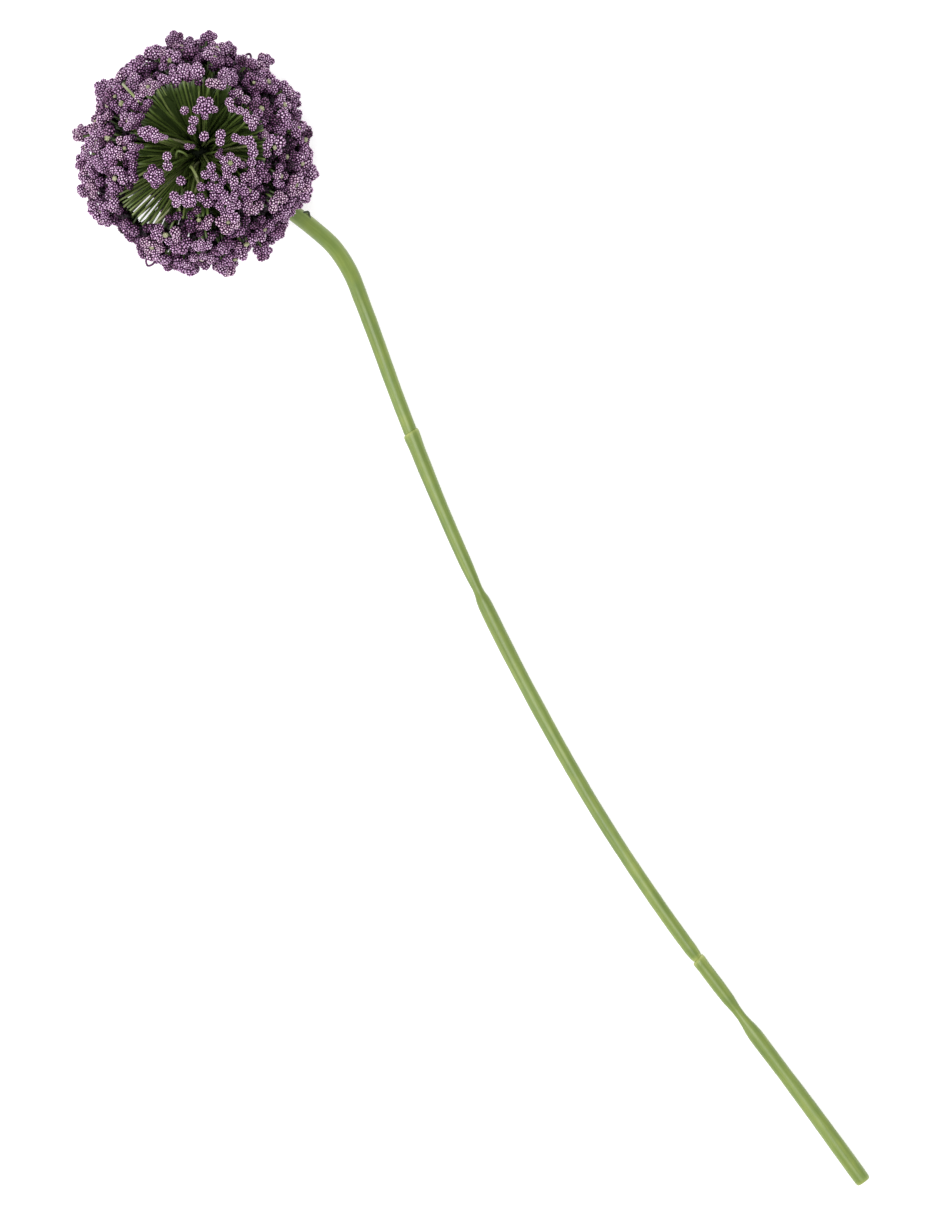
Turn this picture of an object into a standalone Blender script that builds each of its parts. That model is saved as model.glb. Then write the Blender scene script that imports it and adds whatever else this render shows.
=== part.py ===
"""An artificial allium, lying down: a round flower head of plug-in sprays on a sleeved plastic stem.

Each spray is one green stalk moulding, pegged into the hub, with one floret cluster on its tips.
The clusters share out the sphere between them and leave a sparse crown open at the top.
Metres, +Z up. The origin is at the middle of the flower's base, and the stem runs towards +X.
"""

import math

import bmesh
import bpy
import numpy as np
from mathutils import Vector

# Where the middle of the hub stands, and how the whole flower rests.
HUB_CENTRE = Vector((-0.2403, 0.0031, 0.0530))
GAP = 0.0003

# Hub: a ball with one blind socket for each peg.
HUB_RADIUS = 0.0100
HUB_SIDES = 16
HUB_RINGS = 10
PEG_RADIUS = 0.0009
PEG_DEPTH = 0.0030
PEG_SIDES = 8
STEM_PEG_RADIUS = 0.0017
STEM_PEG_DEPTH = 0.0050
SOCKET_OUTSIDE = 0.0020

# Floret shell: the clusters' outer skin lies between SHELL_RADIUS and LOBE_HEIGHT above it.
SHELL_RADIUS = 0.0500
SHELL_INSIDE = 0.0458
SHELL_SHIFT = Vector((-0.0013, -0.0028, 0.0))
LOBE_HEIGHT = 0.0032
SPRAY_COUNT = 18
SPRAY_TURN = math.radians(252.0)
SHARE_SAMPLES = 4000
SHARE_ROUNDS = 40
STEM_SHARE = math.radians(13.0)
CROWN_ANGLE = math.radians(35.0)
STEM_CLEARANCE = math.radians(6.4)
CELL_GAP = math.radians(0.5)
REACH_STEP = math.radians(0.25)
MOST_REACH = math.radians(40.0)
LOBES = 6
BEARINGS = 24
MIDDLE_LOBE = 0.36
LOBE_RING = 0.66
LOBE_WIDTH = 0.34

# Rings of a cluster, as (share of its reach, height over SHELL_RADIUS or over SHELL_INSIDE).
OUTER_RINGS = [(0.32, 0.0), (0.66, 0.0), (0.86, -0.0006), (1.0, -0.0024)]
INNER_RINGS = [(0.94, 0.0), (0.50, 0.0)]

# Stalks: strands that fan out of a knuckle above the peg.
KNUCKLE_RADIUS = 0.0043
CROWN_KNUCKLE_RADIUS = 0.0058
KNUCKLE_HEIGHTS = (-0.72, -0.3, 0.2, 0.62, 0.9)
KNUCKLE_FOOT = 0.97
STRAND_START = 0.85
STRAND_GAP = 0.0010
STRAND_RADIUS = (0.00065, 0.00050)
CROWN_STRAND_RADIUS = (0.00050, 0.00045)
STRAND_SIDES = 5
STRAND_RING = 0.62

# Crown florets: (bearing from +X in degrees, angle from straight up in degrees, radius).
CROWN_FLORETS = [
    (166, 18.6, 0.0030),
    (133, 19.8, 0.0054),
    (157, 9.7, 0.0034),
    (95, 5.5, 0.0028),
    (70, 13.3, 0.0030),
    (269, 17.0, 0.0038),
    (275, 28.2, 0.0050),
    (305, 21.0, 0.0026),
    (314, 29.4, 0.0044),
    (225, 23.3, 0.0046),
    (91, 29.4, 0.0046),
    (61, 26.4, 0.0040),
    (44, 31.0, 0.0030),
    (354, 17.0, 0.0042),
    (28, 20.8, 0.0040),
    (352, 29.2, 0.0044),
]
CROWN_RADIUS = 0.0480
CROWN_SQUASH = 0.75
CROWN_DIMPLE = 0.92
CROWN_GAP = 0.0006

# Stem: the middle line's own points, from the hub's middle, with heights above the surface.
STEM_REST = 0.0036
STEM_ROUTE = [
    (0.0000, 0.0000, 0.0530),
    (0.0180, 0.0088, 0.0420),
    (0.0350, 0.0166, 0.0317),
    (0.0512, 0.0230, 0.0219),
    (0.0636, 0.0264, 0.0144),
    (0.0762, 0.0264, 0.0086),
    (0.0888, 0.0239, 0.0053),
    (0.1078, 0.0197, 0.0038),
    (0.1270, 0.0152, STEM_REST),
    (0.1464, 0.0110, STEM_REST),
    (0.1853, 0.0035, STEM_REST),
    (0.2310, -0.0035, STEM_REST),
    (0.2835, -0.0088, STEM_REST),
    (0.3362, -0.0116, STEM_REST),
    (0.3890, -0.0110, STEM_REST),
    (0.4417, -0.0076, STEM_REST),
    (0.4944, -0.0040, STEM_REST),
    (0.5339, -0.0019, STEM_REST),
]
FIRST_STATION = 0.018
STATION_MARGIN = 0.002
BEND = (0.054, 0.132)
BEND_STEP = 0.006
STRAIGHT_STEP = 0.016
STEM_SIDES = 10

# Distances along the stem from the hub's middle, and the outside radius at each.
JOINT_1 = 0.1694
JOINT_2 = 0.4325
STEM_END = 0.5553
UPPER_PROFILE = [
    (HUB_RADIUS + GAP, 0.0033),
    (0.0350, 0.0034),
    (0.0600, 0.0036),
    (0.0780, 0.0036),
    (0.1000, 0.0034),
    (0.1350, 0.0032),
    (JOINT_1 - GAP, 0.0030),
]
MIDDLE_PROFILE = [
    (JOINT_1, 0.0034),
    (JOINT_1 + 0.0008, 0.0036),
    (0.1735, 0.0035),
    (0.1780, 0.0033),
    (0.1950, 0.0032),
    (0.2100, 0.0029),
    (0.2330, 0.0028),
    (0.2410, 0.0023),
    (0.2440, 0.0022),
    (0.2480, 0.0026),
    (0.2520, 0.0031),
    (0.2570, 0.0032),
    (0.2800, 0.0031),
    (0.4000, 0.0030),
    (0.4270, 0.0029),
    (JOINT_2 - GAP, 0.0024),
]
LOWER_PROFILE = [
    (JOINT_2, 0.0029),
    (JOINT_2 + 0.0008, 0.0031),
    (0.4370, 0.0029),
    (0.4500, 0.0030),
    (0.4560, 0.0027),
    (0.4600, 0.0022),
    (0.4640, 0.0021),
    (0.4690, 0.0026),
    (0.4730, 0.0032),
    (0.5000, 0.0033),
    (0.5300, 0.0034),
    (STEM_END - 0.0006, 0.0035),
    (STEM_END, 0.0032),
]
SPIGOT_LENGTH = 0.0100
UPPER_SPIGOT = 0.0023
MIDDLE_SPIGOT = 0.0019
WIRE_RADIUS = 0.0009
BORE_RADIUS = 0.0012
WIRE_START = HUB_RADIUS - STEM_PEG_DEPTH + 0.0005
WIRE_END = STEM_END - 0.0120
WIRE_SIDES = 6

SHARP_ANGLE = math.radians(40.0)

# Colours as (red, green, blue), linear, with roughness and metallic.
GREEN_SLEEVE = ((0.31, 0.40, 0.13), 0.45, 0.0)
GREEN_STALK = ((0.035, 0.060, 0.012), 0.50, 0.0)
GREEN_HUB = ((0.012, 0.020, 0.006), 0.70, 0.0)
PURPLE_FLORET = ((0.25, 0.11, 0.24), 0.60, 0.0)
STEEL = ((0.45, 0.44, 0.42), 0.40, 1.0)


def clear_scene():
    for item in list(bpy.data.objects):
        bpy.data.objects.remove(item, do_unlink=True)


def material(name, finish):
    colour, roughness, metallic = finish
    made = bpy.data.materials.new(name)
    made.use_nodes = True
    shader = made.node_tree.nodes["Principled BSDF"]
    shader.inputs["Base Color"].default_value = (*colour, 1.0)
    shader.inputs["Roughness"].default_value = roughness
    shader.inputs["Metallic"].default_value = metallic
    return made


def add_object(name, shape, finish):
    """An object of its own from a bmesh, with its faces outward, smooth sides and its own material."""
    bmesh.ops.recalc_face_normals(shape, faces=shape.faces)
    mesh = bpy.data.meshes.new(name)
    shape.to_mesh(mesh)
    shape.free()
    mesh.shade_smooth()
    mesh.set_sharp_from_angle(angle=SHARP_ANGLE)
    made = bpy.data.objects.new(name, mesh)
    made.data.materials.append(material(name, finish))
    bpy.context.scene.collection.objects.link(made)
    return made


def boolean(target, operation, other):
    """Joins or cuts with another object, which is then only a guide."""
    step = target.modifiers.new(operation.lower(), "BOOLEAN")
    step.operation = operation
    step.solver = "EXACT"
    step.object = other
    other.hide_render = True
    other.display_type = "WIRE"


def across(axis):
    """Two unit vectors square to an axis and to each other."""
    first = axis.orthogonal().normalized()
    return first, axis.cross(first)


def ring(shape, middle, axis, radius, sides):
    first, second = across(axis)
    turns = (math.tau * k / sides for k in range(sides))
    return [
        shape.verts.new(middle + radius * (math.cos(t) * first + math.sin(t) * second))
        for t in turns
    ]


def bridge(shape, low, high):
    for k, corner in enumerate(low):
        shape.faces.new((corner, low[k - 1], high[k - 1], high[k]))


def add_prism(shape, start, end, radii, sides):
    """A closed straight bar from start to end, tapering between two radii."""
    axis = (end - start).normalized()
    low = ring(shape, start, axis, radii[0], sides)
    high = ring(shape, end, axis, radii[1], sides)
    bridge(shape, low, high)
    shape.faces.new(low)
    shape.faces.new(high)


def add_turned(shape, axis, profile, sides):
    """A closed turned shape round an axis from HUB_CENTRE; profile is (distance, radius), ends on it."""
    rings = [
        ring(shape, HUB_CENTRE + axis * along, axis, radius, sides)
        for along, radius in profile[1:-1]
    ]
    for low, high in zip(rings, rings[1:]):
        bridge(shape, low, high)
    for end, loop in ((profile[0], rings[0]), (profile[-1], rings[-1])):
        if end[1] > 0:
            raise ValueError("a turned shape starts and ends on its axis")
        tip = shape.verts.new(HUB_CENTRE + axis * end[0])
        for k, corner in enumerate(loop):
            shape.faces.new((corner, loop[k - 1], tip))


def polar(bearing, from_top):
    """The unit vector at a bearing from +X and an angle from straight up."""
    level = math.sin(from_top)
    return Vector((level * math.cos(bearing), level * math.sin(bearing), math.cos(from_top)))


def spiral(count, turn):
    """Directions shared out over the sphere below the crown, on a golden spiral."""
    golden = math.pi * (3.0 - math.sqrt(5.0))
    top = math.cos(CROWN_ANGLE)
    steps = np.arange(count)
    heights = top - (steps + 0.5) / count * (top + 1.0)
    level = np.sqrt(1.0 - heights**2)
    bearings = turn + golden * steps
    return np.stack([level * np.cos(bearings), level * np.sin(bearings), heights], axis=1)


def stem_way():
    """The direction in which the stem leaves the hub."""
    return (Vector(STEM_ROUTE[1]) - Vector(STEM_ROUTE[0])).normalized()


def spray_axes():
    """Directions with equal room round each: every axis moves to the middle of its own share."""
    ground = spiral(SHARE_SAMPLES, 0.0)
    clear = ground @ np.array(stem_way()) < math.cos(STEM_SHARE)
    ground = ground[clear]
    axes = spiral(SPRAY_COUNT, SPRAY_TURN)
    for _ in range(SHARE_ROUNDS):
        owners = np.argmax(ground @ axes.T, axis=1)
        axes = np.array([ground[owners == k].mean(axis=0) for k in range(SPRAY_COUNT)])
        axes /= np.linalg.norm(axes, axis=1, keepdims=True)
    return [Vector(axis) for axis in axes]


def cell_reach(axes, own, bearing, first, second):
    """How far a cluster reaches from its axis along one bearing before it meets anything."""
    side = math.cos(bearing) * first + math.sin(bearing) * second
    stem = stem_way()
    angle = REACH_STEP
    while angle < MOST_REACH:
        point = math.cos(angle) * axes[own] + math.sin(angle) * side
        mine = point.angle(axes[own])
        if any(point.angle(axis) < mine for k, axis in enumerate(axes) if k != own):
            break
        if point.z > math.cos(CROWN_ANGLE) or point.angle(stem) < STEM_CLEARANCE:
            break
        angle += REACH_STEP
    return angle - CELL_GAP


def lobe(fraction, bearing):
    """The bumps of the florets: one in the middle and a ring of them round it."""
    middle = max(0.0, 1.0 - (fraction / MIDDLE_LOBE) ** 2)
    waves = 0.5 + 0.5 * math.cos(LOBES * bearing)
    around = waves * max(0.0, 1.0 - ((fraction - LOBE_RING) / LOBE_WIDTH) ** 2)
    return max(middle, around)


def floret_cluster(name, axes, own):
    """One spray's florets: a lobed pad that fills the spray's own cell of the sphere."""
    axis = axes[own]
    first, second = across(axis)
    bearings = [math.tau * k / BEARINGS for k in range(BEARINGS)]
    reaches = [cell_reach(axes, own, b, first, second) for b in bearings]
    shape = bmesh.new()

    def point(fraction, k, radius):
        angle = reaches[k] * fraction
        side = math.cos(bearings[k]) * first + math.sin(bearings[k]) * second
        way = math.cos(angle) * axis + math.sin(angle) * side
        return HUB_CENTRE + way * (radius + SHELL_SHIFT.dot(way))

    tip = shape.verts.new(point(0.0, 0, SHELL_RADIUS + LOBE_HEIGHT))
    loops = []
    for fraction, drop in OUTER_RINGS:
        heights = [SHELL_RADIUS + drop + LOBE_HEIGHT * lobe(fraction, b) for b in bearings]
        loops.append([shape.verts.new(point(fraction, k, h)) for k, h in enumerate(heights)])
    for fraction, rise in INNER_RINGS:
        height = SHELL_INSIDE + rise
        loops.append([shape.verts.new(point(fraction, k, height)) for k in range(BEARINGS)])
    for low, high in zip(loops, loops[1:]):
        bridge(shape, low, high)
    bottom = shape.verts.new(point(0.0, 0, SHELL_INSIDE))
    for k in range(BEARINGS):
        shape.faces.new((loops[0][k], loops[0][k - 1], tip))
        shape.faces.new((loops[-1][k], loops[-1][k - 1], bottom))
    add_object(name, shape, PURPLE_FLORET)
    targets = []
    for k in range(0, BEARINGS, BEARINGS // LOBES):
        targets.append(point(STRAND_RING, k, SHELL_INSIDE - STRAND_GAP))
    targets.append(point(0.0, 0, SHELL_INSIDE - STRAND_GAP))
    return targets


def stalk_moulding(name, axis, knuckle, radii, targets):
    """A peg, a knuckle above the hub and one strand from the knuckle to each target."""
    middle = HUB_RADIUS + GAP + knuckle
    foot = HUB_RADIUS - PEG_DEPTH
    shape = bmesh.new()
    profile = [(foot, 0.0), (foot, PEG_RADIUS), (middle - KNUCKLE_FOOT * knuckle, PEG_RADIUS)]
    for height in KNUCKLE_HEIGHTS:
        along = middle + knuckle * height
        profile.append((along, knuckle * math.sqrt(1.0 - height**2)))
    profile.append((middle + knuckle, 0.0))
    add_turned(shape, axis, profile, PEG_SIDES)
    made = add_object(name, shape, GREEN_STALK)
    strands = bmesh.new()
    start = HUB_CENTRE + axis * middle
    for target in targets:
        way = (target - start).normalized()
        add_prism(strands, start + way * (knuckle * STRAND_START), target, radii, STRAND_SIDES)
    guide = add_object(name + "_strands", strands, GREEN_STALK)
    boolean(made, "UNION", guide)
    return made


def crown_floret(name, way, size):
    """A small knobbly ball of florets on the tip of a crown strand."""
    shape = bmesh.new()
    knobs = bmesh.ops.create_icosphere(shape, subdivisions=1, radius=size)["verts"]
    bmesh.ops.subdivide_edges(shape, edges=shape.edges, cuts=1, use_grid_fill=True)
    for corner in shape.verts:
        corner.co *= 1.0 if corner in knobs else CROWN_DIMPLE * size / corner.co.length
    first, second = across(way)
    centre = HUB_CENTRE + way * CROWN_RADIUS
    for corner in shape.verts:
        local = corner.co.copy()
        corner.co = centre + local.x * first + local.y * second + CROWN_SQUASH * local.z * way
    add_object(name, shape, PURPLE_FLORET)
    return HUB_CENTRE + way * (CROWN_RADIUS - CROWN_SQUASH * size - CROWN_GAP)


def add_hub(axes):
    """The ball that every peg is pushed into, with a deeper socket for the stem."""
    shape = bmesh.new()
    bmesh.ops.create_uvsphere(
        shape, u_segments=HUB_SIDES, v_segments=HUB_RINGS, radius=HUB_RADIUS
    )
    bmesh.ops.translate(shape, verts=shape.verts, vec=HUB_CENTRE)
    hub = add_object("head_hub", shape, GREEN_HUB)
    sockets = bmesh.new()
    outside = HUB_RADIUS + SOCKET_OUTSIDE
    for axis in axes:
        floor = HUB_CENTRE + axis * (HUB_RADIUS - PEG_DEPTH - GAP)
        radius = PEG_RADIUS + GAP
        add_prism(sockets, floor, HUB_CENTRE + axis * outside, (radius, radius), PEG_SIDES)
    stem = stem_way()
    floor = HUB_CENTRE + stem * (HUB_RADIUS - STEM_PEG_DEPTH - GAP)
    radius = STEM_PEG_RADIUS + GAP
    add_prism(sockets, floor, HUB_CENTRE + stem * outside, (radius, radius), STEM_SIDES)
    cutter = add_object("hub_sockets", sockets, GREEN_HUB)
    boolean(hub, "DIFFERENCE", cutter)


class StemLine:
    """The smooth curve through STEM_ROUTE, read by the distance along it."""

    def __init__(self):
        shift = Vector((HUB_CENTRE.x, HUB_CENTRE.y, 0.0))
        self.points = np.array([tuple(Vector(p) + shift) for p in STEM_ROUTE])
        chords = np.linalg.norm(np.diff(self.points, axis=0), axis=1)
        self.knots = np.concatenate([[0.0], np.cumsum(chords)])
        self.slopes = np.gradient(self.points, self.knots, axis=0)

    def at(self, along):
        """The point and the unit direction at a distance along the curve."""
        k = int(np.clip(np.searchsorted(self.knots, along) - 1, 0, len(self.knots) - 2))
        span = self.knots[k + 1] - self.knots[k]
        t = (along - self.knots[k]) / span
        start, end = self.points[k], self.points[k + 1]
        leave, arrive = self.slopes[k] * span, self.slopes[k + 1] * span
        place = (
            (2 * t**3 - 3 * t**2 + 1) * start
            + (t**3 - 2 * t**2 + t) * leave
            + (3 * t**2 - 2 * t**3) * end
            + (t**3 - t**2) * arrive
        )
        way = (
            (6 * t**2 - 6 * t) * (start - end)
            + (3 * t**2 - 4 * t + 1) * leave
            + (3 * t**2 - 2 * t) * arrive
        )
        return Vector(place), Vector(way).normalized()


def stations(start, end):
    """Distances at which every stem piece has a ring, closer together round the bend."""
    grid = list(np.arange(*BEND, BEND_STEP)) + list(np.arange(FIRST_STATION, BEND[0], STRAIGHT_STEP))
    grid += list(np.arange(BEND[1], STEM_END, STRAIGHT_STEP))
    low, high = start + STATION_MARGIN, end - STATION_MARGIN
    return sorted(float(d) for d in grid if low < d < high)


def with_stations(profile):
    """The profile's own points and those of the common stations between them."""
    along = [p[0] for p in profile]
    radii = [p[1] for p in profile]
    common = stations(along[0], along[-1])
    extra = [d for d in common if min(abs(d - own) for own in along) > STATION_MARGIN]
    filled = profile + [(d, float(np.interp(d, along, radii))) for d in extra]
    return sorted(filled)


def add_swept(name, line, loop, closed, finish, sides):
    """A piece turned round the stem line; loop is (distance, radius) along its wall."""
    shape = bmesh.new()
    rings = []
    for along, radius in loop:
        middle, way = line.at(along)
        level = way.cross(Vector((0.0, 0.0, 1.0))).normalized()
        upright = level.cross(way)
        turns = (math.tau * k / sides for k in range(sides))
        rings.append(
            [
                shape.verts.new(middle + radius * (math.cos(t) * level + math.sin(t) * upright))
                for t in turns
            ]
        )
    for low, high in zip(rings, rings[1:]):
        bridge(shape, low, high)
    if closed:
        bridge(shape, rings[-1], rings[0])
    else:
        shape.faces.new(rings[0])
        shape.faces.new(rings[-1])
    return add_object(name, shape, finish)


def bore(start, end):
    """The wall of the wire's bore, from end back to start."""
    inside = [start] + stations(start, end) + [end]
    return [(d, BORE_RADIUS) for d in reversed(inside)]


def add_stem():
    """The wire and the three sleeves over it, each plugged into the one before."""
    line = StemLine()
    peg_foot = HUB_RADIUS - STEM_PEG_DEPTH
    upper_end = JOINT_1 - GAP + SPIGOT_LENGTH
    peg = [(peg_foot, STEM_PEG_RADIUS), (HUB_RADIUS + GAP, STEM_PEG_RADIUS)]
    spigot = [(JOINT_1 - GAP, UPPER_SPIGOT), (upper_end, UPPER_SPIGOT)]
    loop = peg + with_stations(UPPER_PROFILE) + spigot + bore(peg_foot, upper_end)
    add_swept("upper_stem", line, loop, True, GREEN_SLEEVE, STEM_SIDES)

    socket_end = upper_end + GAP
    middle_end = JOINT_2 - GAP + SPIGOT_LENGTH
    socket = [(socket_end, UPPER_SPIGOT + GAP), (JOINT_1, UPPER_SPIGOT + GAP)]
    spigot = [(JOINT_2 - GAP, MIDDLE_SPIGOT), (middle_end, MIDDLE_SPIGOT)]
    loop = with_stations(MIDDLE_PROFILE) + spigot + bore(socket_end, middle_end) + socket
    add_swept("middle_stem", line, loop, True, GREEN_SLEEVE, STEM_SIDES)

    socket_end = middle_end + GAP
    socket = [(socket_end, MIDDLE_SPIGOT + GAP), (JOINT_2, MIDDLE_SPIGOT + GAP)]
    loop = bore(socket_end, WIRE_END + GAP) + socket + with_stations(LOWER_PROFILE)
    add_swept("lower_stem", line, loop, False, GREEN_SLEEVE, STEM_SIDES)

    inside = [WIRE_START] + stations(WIRE_START, WIRE_END) + [WIRE_END]
    loop = [(d, WIRE_RADIUS) for d in inside]
    add_swept("stem_wire", line, loop, False, STEEL, WIRE_SIDES)


def add_sprays():
    """Every spray round the head, then the sparse crown on top."""
    axes = spray_axes()
    for k, axis in enumerate(axes):
        targets = floret_cluster(f"spray_{k + 1:02d}_florets", axes, k)
        stalk_moulding(f"spray_{k + 1:02d}_stalks", axis, KNUCKLE_RADIUS, STRAND_RADIUS, targets)
    targets = []
    for k, (bearing, from_top, size) in enumerate(CROWN_FLORETS):
        way = polar(math.radians(bearing), math.radians(from_top))
        targets.append(crown_floret(f"crown_florets_{k + 1:02d}", way, size))
    top = Vector((0.0, 0.0, 1.0))
    stalk_moulding("crown_stalks", top, CROWN_KNUCKLE_RADIUS, CROWN_STRAND_RADIUS, targets)
    add_hub(axes + [top])


def main():
    clear_scene()
    add_stem()
    add_sprays()


main()
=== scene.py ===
"""The looks of a lying artificial allium: knobbly florets, green strands and a sleeved plastic stem.

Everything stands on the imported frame, in metres with +Z up. A table in millimetres says so.
Directions round the head are given as a bearing from +X and an angle from straight up, in degrees,
both seen from the middle of the hub. Every draw from RANDOM is in a fixed order.
"""

import math

import bmesh
import bpy
import numpy as np
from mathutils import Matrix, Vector


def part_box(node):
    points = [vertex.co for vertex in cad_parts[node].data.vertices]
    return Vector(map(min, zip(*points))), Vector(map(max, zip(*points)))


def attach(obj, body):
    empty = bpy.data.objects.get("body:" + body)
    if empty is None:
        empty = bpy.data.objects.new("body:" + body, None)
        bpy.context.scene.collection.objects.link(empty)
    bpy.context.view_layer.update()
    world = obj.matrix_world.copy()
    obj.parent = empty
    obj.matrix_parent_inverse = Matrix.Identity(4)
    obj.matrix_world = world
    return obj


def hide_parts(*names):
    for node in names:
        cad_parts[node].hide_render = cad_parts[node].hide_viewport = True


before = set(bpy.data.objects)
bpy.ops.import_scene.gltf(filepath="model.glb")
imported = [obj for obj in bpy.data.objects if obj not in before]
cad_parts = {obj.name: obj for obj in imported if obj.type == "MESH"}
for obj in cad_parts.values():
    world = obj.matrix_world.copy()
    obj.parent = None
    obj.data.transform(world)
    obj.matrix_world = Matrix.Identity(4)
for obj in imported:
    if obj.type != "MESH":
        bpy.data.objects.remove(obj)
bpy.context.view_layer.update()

RANDOM = np.random.default_rng(20)
MM = 0.001

# The shell that the berries' middles sit on: its radius, how far its own middle is from the hub's,
# and how it swells in millimetres for each bearing.
SHELL_RADIUS = 0.0478
SHELL_SHIFT = np.array([-0.0013, -0.0028, 0.0])
SWELL = [
    (0, 2.6), (15, 1.8), (30, 2.6), (45, 3.2), (60, 2.6), (75, 2.0), (90, 0.8), (120, -1.2),
    (150, -0.2), (180, -2.2), (210, -1.4), (225, -1.0), (240, -1.4), (252, 0.6), (270, -0.2),
    (300, 1.0), (330, 1.4), (345, 2.0), (360, 2.6),
]
# Florets keep this angle away from the stem, and berries keep this gap to the floor.
STEM_OPENING = math.radians(7.0)
FLOOR_GAP = 0.0002

# The crown opens to this angle from straight up, for each bearing in degrees.
CROWN_EDGE = [
    (0, 33.0), (30, 35.0), (60, 38.5), (90, 37.5), (120, 36.5), (150, 37.0), (172, 39.0),
    (190, 36.5), (207, 34.0), (228, 34.5), (250, 35.0), (262, 40.0), (274, 57.0), (284, 61.0),
    (296, 57.0), (308, 42.0), (330, 37.0), (345, 34.0), (360, 33.0),
]
# Holes among the florets, as (bearing, angle from straight up, radius), all in degrees. The floor
# shows through where one in front has another behind it.
OPENINGS = [
    (285, 54, 11), (277, 130, 13), (296, 135, 9), (287, 118, 7), (9, 58, 6), (220, 52, 6),
    (139, 47, 5), (104, 47, 4), (104, 131, 7), (90, 53, 4), (91, 126, 7), (314, 69, 5),
    (313, 116, 6), (314, 130, 7), (30, 47, 4), (60, 60, 4), (255, 62, 4), (175, 62, 5),
    (340, 52, 4), (85, 72, 4), (200, 75, 4), (330, 76, 4), (119.5, 89, 5), (236, 90, 3),
    (17, 74, 4), (150, 62, 4),
]
# Rosettes that stand out of the outline, as (bearing, angle from straight up, rise), and the angle
# in radians that the scattered rosettes keep from them.
LUMPS = [
    (160, 91, 0.0042), (143, 88, 0.0034), (112, 92, 0.0042), (46, 90, 0.0018), (339, 90, 0.0032),
    (322, 92, 0.0012), (228, 90, 0.0042), (243, 92, 0.0022), (255, 88, 0.0024), (204, 90, 0.0034),
    (359, 88, 0.0030), (272, 90, 0.0014), (37, 82, 0.0014), (132, 88, 0.0010), (298, 89, -0.0004),
    (11, 88, 0.0012), (87, 88, 0.0014), (311, 90, 0.0008), (172, 85, 0.0004),
]
LUMP_ROOM = 0.11

# Scattered rosettes of berries: how many places they start from, how many rounds even their room,
# and how far they rise or sink.
UMBELS = 158
UMBEL_ROUNDS = 4
RISE_SPREAD = 0.0013
RISE_LIMIT = 0.0030
BERRY_RADIUS = 0.00212
# Share of the berries' size that each of their three sides may gain or lose.
BERRY_SQUASH = 0.13
# A berry's granules: their number, and the radii of their tops, shoulders, valleys and pits as
# shares of the berry's. A tall granule stands GRANULE_LIFT further out.
GRANULES = 36
GRANULE_TOP = 1.01
GRANULE_SHOULDER = 0.955
GRANULE_VALLEY = 0.82
GRANULE_PIT = 0.68
GRANULE_LIFT = 0.05
GRANULE_SCATTER = 0.09
# Where a shoulder sits between its own tip and the next one, and how high the material takes
# shoulders and valleys to be; from these heights it paints shade low down and a highlight on top.
SHOULDER_SHARES = (1.55, 0.45)
SHOULDER_HEIGHT = 0.66
VALLEY_HEIGHT = 0.12
# Coarser balls of granules, for the berries deep in the gaps and for the pale buds.
LOW_GRANULES = 18
BUD_GRANULES = 14
# Three hidden berries prop up each rosette that stands out of the outline.
PROP_DEPTH = 0.0034
PROP_SPREAD = 0.0016
PROP_TONE = 0.3
# Filling berries are tried in this many directions, and stay where the next berry is far enough
# away, in berry radii. The lining lies deeper, and keeps this many degrees from the crown's edge.
FILL_TRIES = 3000
FILL_ROOM = 1.65
FILL_CHANCE = 0.60
LINING_TRIES = 5000
LINING_ROOM = 1.25
LINING_MARGIN = 9.0
LINING_TOP = -0.0015
# Painted shade: berries darken towards the hub, from full colour at LIT_RISE above the shell,
# over DIM_DEPTH.
LIT_RISE = 0.0005
DIM_DEPTH = 0.0070
DIMMEST = 0.38

# The stem's middle line from the hub's middle, level position first and height above the floor last.
STEM_REST = 0.0036
STEM_ROUTE = [
    (0.0000, 0.0000, 0.0530),
    (0.0180, 0.0088, 0.0420),
    (0.0350, 0.0166, 0.0317),
    (0.0512, 0.0230, 0.0219),
    (0.0636, 0.0264, 0.0144),
    (0.0762, 0.0264, 0.0086),
    (0.0888, 0.0239, 0.0053),
    (0.1078, 0.0197, 0.0038),
    (0.1270, 0.0152, STEM_REST),
    (0.1464, 0.0110, STEM_REST),
    (0.1853, 0.0035, STEM_REST),
    (0.2310, -0.0035, STEM_REST),
    (0.2835, -0.0088, STEM_REST),
    (0.3362, -0.0116, STEM_REST),
    (0.3890, -0.0110, STEM_REST),
    (0.4417, -0.0076, STEM_REST),
    (0.4944, -0.0040, STEM_REST),
    (0.5339, -0.0019, STEM_REST),
]
STEM_SIDES = 40
STEM_STEP = 0.0015
# The sleeves are painted paler over this length at their ends, a glow as of light through the
# plastic.
SLEEVE_GLOW_LENGTH = 0.0011

# The core under the strands: its radius, how far its skin lies inside that, and how far it swells
# round each spray's peg, within PEG_ANGLE of it in radians.
HUB_RADIUS = 0.0100
HUB_INSET = 0.0004
PEG_SWELL = 0.0012
PEG_ANGLE = 0.35

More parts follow.
